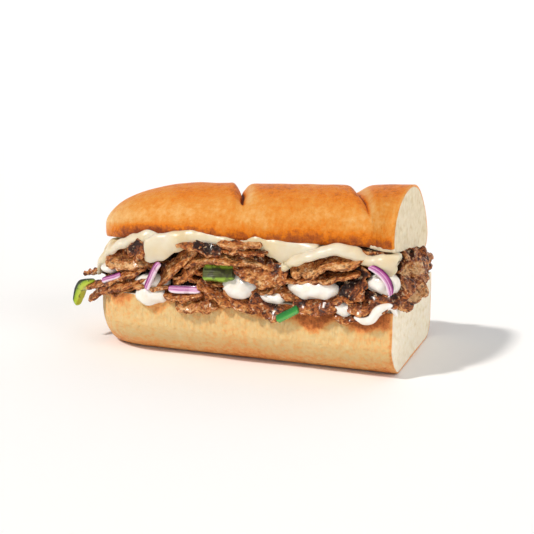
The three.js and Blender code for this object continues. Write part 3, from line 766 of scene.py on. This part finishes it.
def crinkle(points, size, seed):
    # a torn, folded kind of unevenness, with creases as well as humps, mostly within -1 to 1
    layers = [ripples(points, size / 2 ** k, seed + 17 * k) for k in range(3)]
    return sum(0.58 ** k * (0.7 - 2.2 * np.abs(layer)) for k, layer in enumerate(layers))


# What each row of the tables of slices begins with, and what a slice has unless it says so
sliceKeys = ["x", "y", "z", "length", "width", "slope", "face", "bend"]
sliceDefaults = {
    "thick": 1.7, "rag": 0.16, "blunt": 3, "crumple": 1, "flank": 0.45, "flat": 0.24, "sway": 1,
    "hook": 0, "cup": 0, "turn": 0,
}


def slicedPiece(settings, rings, around):
    # A thin torn slice: flat, ragged, bent along its length and cupped across it. face tips its
    # flat side from the sky to the front, slope lifts its +X end, and turn swings it round.
    p = {**sliceDefaults, **settings}
    seed, length, width = p["seed"], p["length"], p["width"]
    thick, crumple = p["thick"], p["crumple"]
    along = np.linspace(-1, 1, rings + 2)[1:-1, None]
    along = np.sign(along) * (1 - (1 - np.abs(along)) ** 1.3)
    side, over = np.cos(circle(around)[None]), np.sin(circle(around)[None])
    phase = [draw(seed, k) * 2 * math.pi for k in range(5)]
    near = np.sin(along * 5.1 + phase[0]) * 0.6 + np.sin(along * 9.7 + phase[1]) * 0.4
    far = np.sin(along * 4.3 + phase[2]) * 0.6 + np.sin(along * 8.9 + phase[3]) * 0.4
    edge = 1 + p["rag"] * lerp(near, far, (side + 1) / 2)
    # both long edges are torn: small teeth, and a few deeper tears
    rimLine = stacked(along * length / 2, np.sign(side) * 40)
    edge = edge + crumple * 0.24 * crinkle(rimLine, 6, seed + 100) / (width / 2)
    for k in range(4):
        at, bite = draw(seed, 20 + k) * 1.7 - 0.85, 0.1 + 0.24 * draw(seed, 30 + k)
        edgeSide = 1 if draw(seed, 40 + k) > 0.5 else -1
        edge = edge - crumple * bite * bell((along - at) * length / 2, 1.3) * ease(side * edgeSide * 2)
    outline = (1 - np.abs(along) ** p["blunt"]) ** 0.45 * edge
    # a is where a point is along the slice, b across it and c up through it
    a = along * length / 2 + 0 * side
    b = width / 2 * outline * np.sign(side) * np.abs(side) ** p["flank"]
    across = 0.5 - b / width
    fromEdge = np.minimum(width / 2 * outline - np.abs(b), (1 - np.abs(along)) * length / 2)
    flat = stacked(a, b)
    c = thick / 2 * np.sign(over) * np.abs(over) ** p["flat"] * np.clip(outline * 1.6, 0.15, 1)
    c = c * (1 + crumple * 0.22 * ripples(flat, 7, seed + 500))
    c = c + np.sign(over) * crumple * 0.04 * crinkle(flat, 3, seed + 400) * np.abs(over)
    uneven = 0.8 * ripples(flat, 16, seed + 200) + 0.14 * ripples(flat, 7, seed + 300)
    wave = p["sway"] * thick * 0.3 * np.sin(along * 3.2 + phase[4]) + crumple * uneven
    b = b + math.radians(p["hook"]) / length * a ** 2 / 2
    curve = math.radians(p["bend"]) / length or 1e-6
    curl = math.radians(p["cup"]) / width or 1e-6
    lift = (1 - np.cos(curve * a)) / curve + (1 - np.cos(curl * b)) / curl
    u = np.sin(curve * a) / curve - c * np.sin(curve * a)
    w, n = turned(np.sin(curl * b) / curl, lift + c * np.cos(curve * a) + wave, p["face"])
    u, n = turned(u, n, p["slope"])
    u, w = turned(u, w, p["turn"])
    rows = np.stack([p["x"] + u, p["y"] + w, p["z"] + n], -1)
    points, faces = tubeMesh(rows, rows[0].mean(0), rows[-1].mean(0))
    grain = stacked(a + 60 * draw(seed, 7), b + 60 * draw(seed, 8), c).reshape(-1, 3)
    rim = 1 - np.clip(fromEdge / 1.5, 0, 1)
    # painted shade: darker towards the edge tucked in under the slice above it and on the underside,
    # with a painted highlight towards the lower lip
    tucked = (b + 0 * over) / (width / 2)
    tone = p.get("tone", draw(seed, 9)) - 0.55 * ease(0.9 * tucked) + 0.16 * ease(-tucked)
    tone = tone - 0.25 * ease(-over)
    return points, faces, {
        "grain": chain(grain, grain[:1], grain[-1:]) * mm, "rim": np.append(rim, [1, 1]),
        "across": np.append(across, [0.5, 0.5]),
        "tone": np.append(tone, [tone[0].mean(), tone[-1].mean()]),
    }


# The slices that show best at the front, from the tip to the cut end, with their tone at the end
frontSteak = [
    [-70.5, -25.5, 31.4, 8.5, 2.8, 28, 35, 10, 0.6], [-55, -26, 34.5, 14, 6, 8, 35, -10, 0.5],
    [-62.5, -30, 28, 18, 5, 20, 40, 12, 0.5], [-37.6, -43.8, 48.4, 9.6, 8.6, 0, 82, 0, 0.24],
    [-47.5, -36.5, 41.4, 19, 11, 5, 58, 10, 0.7], [-36.5, -38.5, 42.3, 12, 7, -15, 58, 5, 0.5],
    [-47, -38, 34.8, 24, 7, 22, 35, 14, 0.55], [-45, -39, 31.6, 24, 6, 24, 38, -12, 0.45],
    [-60.5, -32.5, 25.8, 20, 6, 38, 40, 10, 0.4], [-50, -36.5, 28.4, 22, 7, 12, 45, -10, 0.35],
    [-33, -40, 31.4, 18, 7, 0, 12, -14, 0.7], [-21, -39.5, 42, 28, 9, 46, 50, 12, 0.6],
    [-14, -40, 41, 23, 7, 40, 55, -10, 0.5], [-14, -42.2, 51.8, 13, 7, -2, 38, 0, 0.55],
    [-5, -42.4, 50.8, 14, 8, -12, 46, 12, 0.0], [4, -41.5, 47.6, 46, 10, 3, 24, -52, 0.65],
    [9.5, -42.6, 53.2, 20, 6, 3, 24, 6, 0.7], [12, -42.4, 50.8, 20, 7, 0, 20, 4, 0.35],
    [18.6, -41.8, 43.2, 24, 14, -10, 62, 10, 0.5], [-4.5, -40, 37.6, 18, 7, -22, 38, 40, 0.5],
    [-15, -38.5, 36.4, 18, 7, -5, 22, 8, 0.3], [-11, -41.6, 26.2, 21, 10, 4, 56, -12, 0.6],
    [-17, -40.5, 29.6, 20, 9, 8, 42, 10, 0.5], [-2, -41, 31.6, 19, 10, -28, 46, 12, 0.5],
    [8.5, -41, 29, 16, 8, -34, 50, 8, 0.5], [21, -41.3, 27.6, 16, 11, -22, 64, 12, 0.35],
    [20.5, -40, 35.5, 14, 8, 18, 42, 6, 0.5], [27, -40.5, 39.6, 23, 7, 6, 26, -10, 0.5],
    [36.5, -40.5, 44.8, 11, 9, 15, 55, 0, 0.75], [49, -41, 48, 29, 10, 17, 42, -14, 0.7],
    [51, -41, 43, 22, 8, 7, 26, 10, 0.5], [40, -40.5, 40.8, 18, 7, 8, 22, 8, 0.4],
    [59, -40.5, 39.6, 18, 12, 64, 72, 14, 0.1], [43, -41.3, 30.6, 21, 11, 5, 60, 14, 0.4],
    [54, -40.5, 33.8, 12, 8, 0, 42, 0, 0.3], [66.5, -41, 33.4, 23, 11, 10, 58, -10, 0.35],
    [73.5, -37, 38.5, 16, 9, -24, 50, 10, 0.4], [57.5, -42, 27.2, 14, 7, 4, 60, 0, 0.3],
    [59.5, -37.5, 54, 24, 5, -2, 18, -6, 0], [29.5, -40.5, 33.8, 13, 6, -10, 50, 0, 0.5],
]


# The slices that bulge out of the cut end, some of them curled, with their turn and their tone
cutSteak = [
    [75.5, -19, 43.5, 20, 9, -4, 60, 14, 58, 0.8], [75.5, -21, 49.6, 9, 6, 10, 50, 150, 60, 0.1],
    [76.5, -3, 46.8, 9, 6, -10, 50, 140, 70, 0.35], [75.5, -31, 38.8, 15, 9, -8, 60, -14, 45, 0.55],
    [75.5, -4, 36, 16, 9, 12, 54, 20, 66, 0.5], [75, -32, 32.6, 16, 6, -32, 60, 10, 48, 0.5],
    [76.5, -12, 31.5, 17, 9, 6, 56, 30, 58, 0.85], [75, -18, 36.5, 18, 8, 20, 54, -16, 62, 0.3],
    [73, 8, 41, 18, 10, -8, 64, 14, 84, 0.6], [73, 10, 33.5, 18, 10, 10, 62, -12, 88, 0.4],
    [71.5, 24, 37.5, 16, 10, 6, 58, 20, 100, 0.5], [71.5, 25, 31.5, 16, 9, -8, 52, -16, 96, 0.3],
]


def fromTable(table, moreKeys, shared, firstSeed):
    keys = sliceKeys + moreKeys
    return [{**dict(zip(keys, row)), **shared, "seed": firstSeed + i} for i, row in enumerate(table)]


def ringSteak():
    # the slices round the back and the tip, at two levels
    places = [(x + 8 * level, 32.5 - 2.5 * level, 33 + 5.5 * level, 180)
              for x in (54, 37, 20, 3, -16, -35) for level in (0, 1)]
    places += [(x, y, z, turn) for x, y, turn in ((-60, 17, 200), (-63, 5, 245), (-64, -9, 275))
               for z in (30, 31.5)]
    return [{
        "x": x, "y": y, "z": z, "turn": turn, "length": 16 + 10 * draw(k, 11),
        "width": 8 + 4 * draw(k, 12), "slope": 50 * (draw(k, 13) - 0.5),
        "face": 40 + 30 * draw(k, 14), "bend": 40 * (draw(k, 15) - 0.5), "seed": k,
    } for k, (x, y, z, turn) in zip([*range(70, 82), *range(90, 96)], places)]


def strips(places, levels, tones, seed, slopeFrom=-52):
    # narrower strips that fill the gaps behind the outer slices
    rng = np.random.default_rng(seed)
    more = []
    for z in levels:
        for x, y, turn in places:
            x += rng.uniform(-2.5, 2.5) * abs(math.cos(math.radians(turn)))
            if z > float(roof(x, y)) - 5 - 12 * float(ease((slopeFrom - x) / 14)):
                continue
            more.append({
                "x": x, "y": y, "z": z + rng.uniform(-1.2, 1.2), "length": rng.uniform(12, 20),
                "width": rng.uniform(5, 9), "slope": rng.uniform(-28, 28),
                "face": rng.uniform(20, 65), "bend": rng.uniform(-30, 30),
                "tone": rng.uniform(*tones), "turn": turn, "seed": len(more) + 600 + seed,
            })
    return more


def makeSteak():
    front = fromTable(frontSteak, ["tone"], {"cup": 16}, 10)
    end = fromTable(cutSteak, ["turn", "tone"], {"cup": 20, "thick": 2.8}, 50)
    half = len(front) // 2
    stations = [(x, max(float(nose(x, 40, 2.2)), 0.3)) for x in np.arange(-60, 74, 8.5)]
    # the hidden strips behind the front slices take the darker inside steak and low tones, as painted
    # shade in the gaps
    hidden = strips([(x, -34 * plan + 2.2, 0) for x, plan in stations],
                    [30, 33.5, 37, 40.5, 44, 47], (0, 0.35), 7, -40)
    behind = strips([(x, 33 * plan, 180) for x, plan in stations], [32, 36, 40], (0.3, 0.9), 300)
    behind += strips([(73, y, 75) for y in np.arange(-26, 30, 7)], [33, 37, 41], (0.2, 0.9), 400)
    behind += strips([(-58, 24, 205), (-63, 17, 225), (-66.5, 8, 250), (-67, -1, 270),
                      (-67, -10, 285), (-65, -18, 300)], [29, 30.5], (0.3, 0.9), 500)
    # the last pair says how many rings each slice has and how many points a ring
    for name, slices, material, fine in (
            ("slices_tip", front[:half], steakMaterial, (84, 34)),
            ("slices_cut", front[half:], steakMaterial, (84, 34)),
            ("slices_end", end, steakMaterial, (70, 34)),
            ("slices_round", ringSteak(), steakMaterial, (60, 26)),
            ("strips_back", behind, steakMaterial, (32, 16)),
            ("strips_front", hidden, coreMaterial, (27, 14))):
        points, faces, attributes = joined([slicedPiece(p, *fine) for p in slices])
        makePiece("steak_" + name, points, faces, material, ["steak"], attributes, 42)


def makeCore():
    # the heap under the slices fills the space from the heel to the cheese
    x = np.linspace(heel["tipX"] + 9, cutX - 1.5, 110)[:, None]
    squareY = np.clip(1.35 * np.cos(circle(120)[None]), -1, 1)
    squareZ = np.clip(1.35 * np.sin(circle(120)[None]), -1, 1)
    plan = np.maximum(nose(x, 38, 2.2), 0.3)
    reach = np.where(squareY < 0, 37.5, 33) - 3.8 * (squareZ + 1) / 2
    y = squareY * reach * plan
    top = np.minimum(roof(x, y) - 7, 48) - 7 * ease((-46 - x) / 14)
    z = lerp(heelTop(x) - 0.3, top, (squareZ + 1) / 2)
    place = stacked(x + 0 * y, y, z)
    lump = 1.3 * ripples(place, 13, 71) + 0.6 * ripples(place, 5, 72)
    place[..., 1] += lump * squareY
    place[..., 2] += lump * 0.5 * np.clip(squareZ, 0, 1)
    points, faces = tubeMesh(place, place[0].mean(0), place[-1].mean(0) + [0.4, 0, 0])
    count = len(points)
    # the heap takes the darker inside steak and a low tone, as painted shade
    attributes = {"grain": points * mm, "rim": np.zeros(count), "tone": np.full(count, 0.2)}
    makePiece("steak_core", points, faces, coreMaterial, ["steak"], attributes)


makeSteak()
makeCore()
print("steak made")

vegetables = [
    ("onion_1", [-31.4, -42.8, 37.6, 14, 3.4, 61, 62, 14], {"hook": -50}),
    ("onion_2", [-53, -39.4, 33.4, 10, 2.8, 20, 50, 10], {}),
    ("onion_3", [-16.2, -42.6, 32, 15.5, 3.6, 3, 60, -8], {"hook": 12}),
    ("onion_4", [71.9, -42.8, 44.7, 14.5, 3.3, -50, 62, -16], {"hook": -73}),
    ("onion_5", [10, 34.5, 36, 18, 3.6, 8, 55, 25], {"turn": 180}),
    ("pepper_1", [-75, -28, 24.6, 16, 4.8, 52, 76, 10], {"hook": -105, "thick": 4.4, "blunt": 2.2}),
    ("pepper_2", [-0.2, -42, 40.4, 14.5, 7.2, 5, 66, 8],
     {"thick": 3.4, "flat": 0.15, "flank": 0.2, "blunt": 10, "rag": 0.08, "crumple": 0.4}),
    ("pepper_3", [31, -43.4, 25.8, 10.8, 3.2, 30, 48, 0],
     {"thick": 1.8, "blunt": 30, "sway": 0, "flat": 0.1, "flank": 0.12, "rag": 0.01}),
    ("pepper_4", [-34, 34, 35, 16, 6, -10, 50, 25], {"turn": 180}),
]
vegetableDefaults = {
    "thick": 2.6, "rag": 0.04, "blunt": 9, "crumple": 0.12, "sway": 0.5, "flank": 0.35, "flat": 0.25,
}
vegetableMaterials = {
    "onion": onionMaterial, "pepper": pepperMaterial, "pepper_2": charredPepperMaterial,
    "pepper_3": rawPepperMaterial,
}


def makeVegetables():
    for i, (node, place, own) in enumerate(vegetables):
        kind = node.split("_")[0]
        ofKind = {"thick": 1.1} if kind == "onion" else {}
        shape = {**vegetableDefaults, **ofKind, **dict(zip(sliceKeys, place)), **own, "seed": i + 1}
        points, faces, attributes = slicedPiece(shape, 70, 36)
        material = vegetableMaterials.get(node, vegetableMaterials[kind])
        makePiece(node.replace("_", "_strip_"), points, faces, material, [node], attributes, 35)


makeVegetables()
print("vegetables made")

# Sauce between the slices: for each dollop the x, y and z of its middle and its length, or the
# points that a ribbon of it runs through, then how deep and how high it is
sauces = [
    ([-33.5, -37.6, 33.4, 17], 8, 7),
    ([-33, -40.4, 27.6, 15], 8, 7.5),
    ([8.5, -39.2, 35.2, 16], 10, 12),
    ([23.2, -39.6, 31.8, 13], 9, 5.5),
    ([41, -39.8, 36.6, 22], 10, 9),
    ([54, -39.6, 29.6, 10], 8, 7),
    ([70, -37.5, 40.5, 14], 10, 9),
    ([(59.5, -43, 27.2), (63.5, -43.4, 26), (67, -43.6, 27), (69.3, -44, 30.2), (72, -43.8, 32.2),
      (75, -41.8, 32.2), (76.4, -39.4, 28)], 4.2, 3.6),
    ([-56, -35, 37, 8], 9, 5),
    ([34, 33, 34.5, 20], 9, 7),
]


def makeSauces():
    lat, lon = np.linspace(math.pi, 0, 50)[1:-1], circle(56)[:, None]
    reach, share = np.linspace(-0.5, 0.5, 120), np.linspace(0, 1, 120)
    for i, (course, depth, height) in enumerate(sauces):
        if np.ndim(course) == 2:
            line = smoothPath(np.array(course, float)[None], len(share))[0]
        else:
            x, y, z, length = course
            sag = height * 0.48 * reach ** 2 * math.sin(i + 1)
            line = stacked(x + reach * length, y + 0 * reach, z - sag)
        middle = np.stack([np.interp((1 + np.cos(lat)) / 2, share, line[:, k]) for k in range(3)], -1)
        up = unit(np.cross(unit(np.gradient(middle, axis=0)), [0, 1, 0]))
        out = np.array([0, 1, 0]) * depth / 2 * np.cos(lon)
        swing = (out[None] + up[:, None] * height / 2 * np.sin(lon)) * np.sin(lat)[:, None, None] ** 0.8
        place = middle[:, None] + swing
        lump = 1 + 0.18 * ripples(place, 10, 80 + i) + 0.08 * ripples(place, 5.5, 90 + i)
        points, faces = tubeMesh(middle[:, None] + swing * lump[..., None], line[0], line[-1])
        number = str(i + 1)
        makePiece("sauce_dollop_" + number, points, faces, sauceMaterial, ["sauce_" + number])


makeSauces()
print("sauce made")


# Room, light and camera

def makeStage():
    # a round white table top whose far edge sweeps up like a studio cove, in metres
    sweep = np.linspace(0.1, math.pi / 2, 14)
    radius = chain([0.5, 1.0, 1.5], 1.5 + 0.5 * np.sin(sweep))
    height = chain([0.0, 0.0, 0.0], 0.5 - 0.5 * np.cos(sweep))
    turn = circle(96)
    rings = [stacked(r * np.cos(turn), r * np.sin(turn), h) for r, h in zip(radius, height)]
    points = np.concatenate(rings + [[[0, 0, 0]]])
    count = len(turn)
    faces = gridFaces(len(rings), count)
    faces += [[len(points) - 1, (c + 1) % count, c] for c in range(count)]
    mesh = newMesh("table", points, faces)
    white = newMaterial("pale_table", {"Base Color": linear("#fdfdfd"), "Roughness": 0.85})[0]
    mesh.materials.append(white)
    addObject("table", mesh)


def placeLooking(name, data, place, away):
    thing = addObject(name, data)
    thing.location = place
    thing.rotation_euler = (-away).to_track_quat("-Z", "Y").to_euler()
    return thing


# Where each light comes from, its strength, how many degrees wide it looks, and its colour
lights = {
    "key_light": ((-0.40, -0.52, 0.80), 2.05, 5, "#fffaf4"),
    "side_fill": ((0.90, -0.35, 0.35), 0.95, 40, "#ffffff"),
    "back_fill": ((0.2, 0.8, 0.7), 0.4, 60, "#ffffff"),
}
roomStrength = 0.36


def makeLights():
    for name, (place, strength, wide, colour) in lights.items():
        lamp = bpy.data.lights.new(name, "SUN")
        lamp.energy = strength
        lamp.angle = math.radians(wide)
        lamp.color = linear(colour)[:3]
        placeLooking(name, lamp, place, Vector(place))
    world = bpy.data.worlds.new("white_room")
    world.use_nodes = True
    background = world.node_tree.nodes["Background"].inputs
    background["Color"].default_value = (1, 1, 1, 1)
    background["Strength"].default_value = roomStrength
    bpy.context.scene.world = world
    bpy.context.scene.view_settings.view_transform = "Standard"


# Where the photo was taken from: degrees round from the front and above the table, and mm.
photoCamera = {"lens": 74.16, "sensor": 36, "azimuth": 20.22, "elevation": 13.02, "distance": 503.6,
               "aim": (5.9, 0, 34.5)}


def makeCamera():
    camera = bpy.data.cameras.new("photo_camera")
    camera.lens = photoCamera["lens"]
    camera.sensor_width = photoCamera["sensor"]
    az, el = math.radians(photoCamera["azimuth"]), math.radians(photoCamera["elevation"])
    aim = Vector(photoCamera["aim"]) * mm
    away = Vector((math.sin(az) * math.cos(el), -math.cos(az) * math.cos(el), math.sin(el)))
    place = aim + away * photoCamera["distance"] * mm
    bpy.context.scene.camera = placeLooking("photo_camera", camera, place, away)


makeStage()
makeLights()
makeCamera()
print("room, lights and camera made")
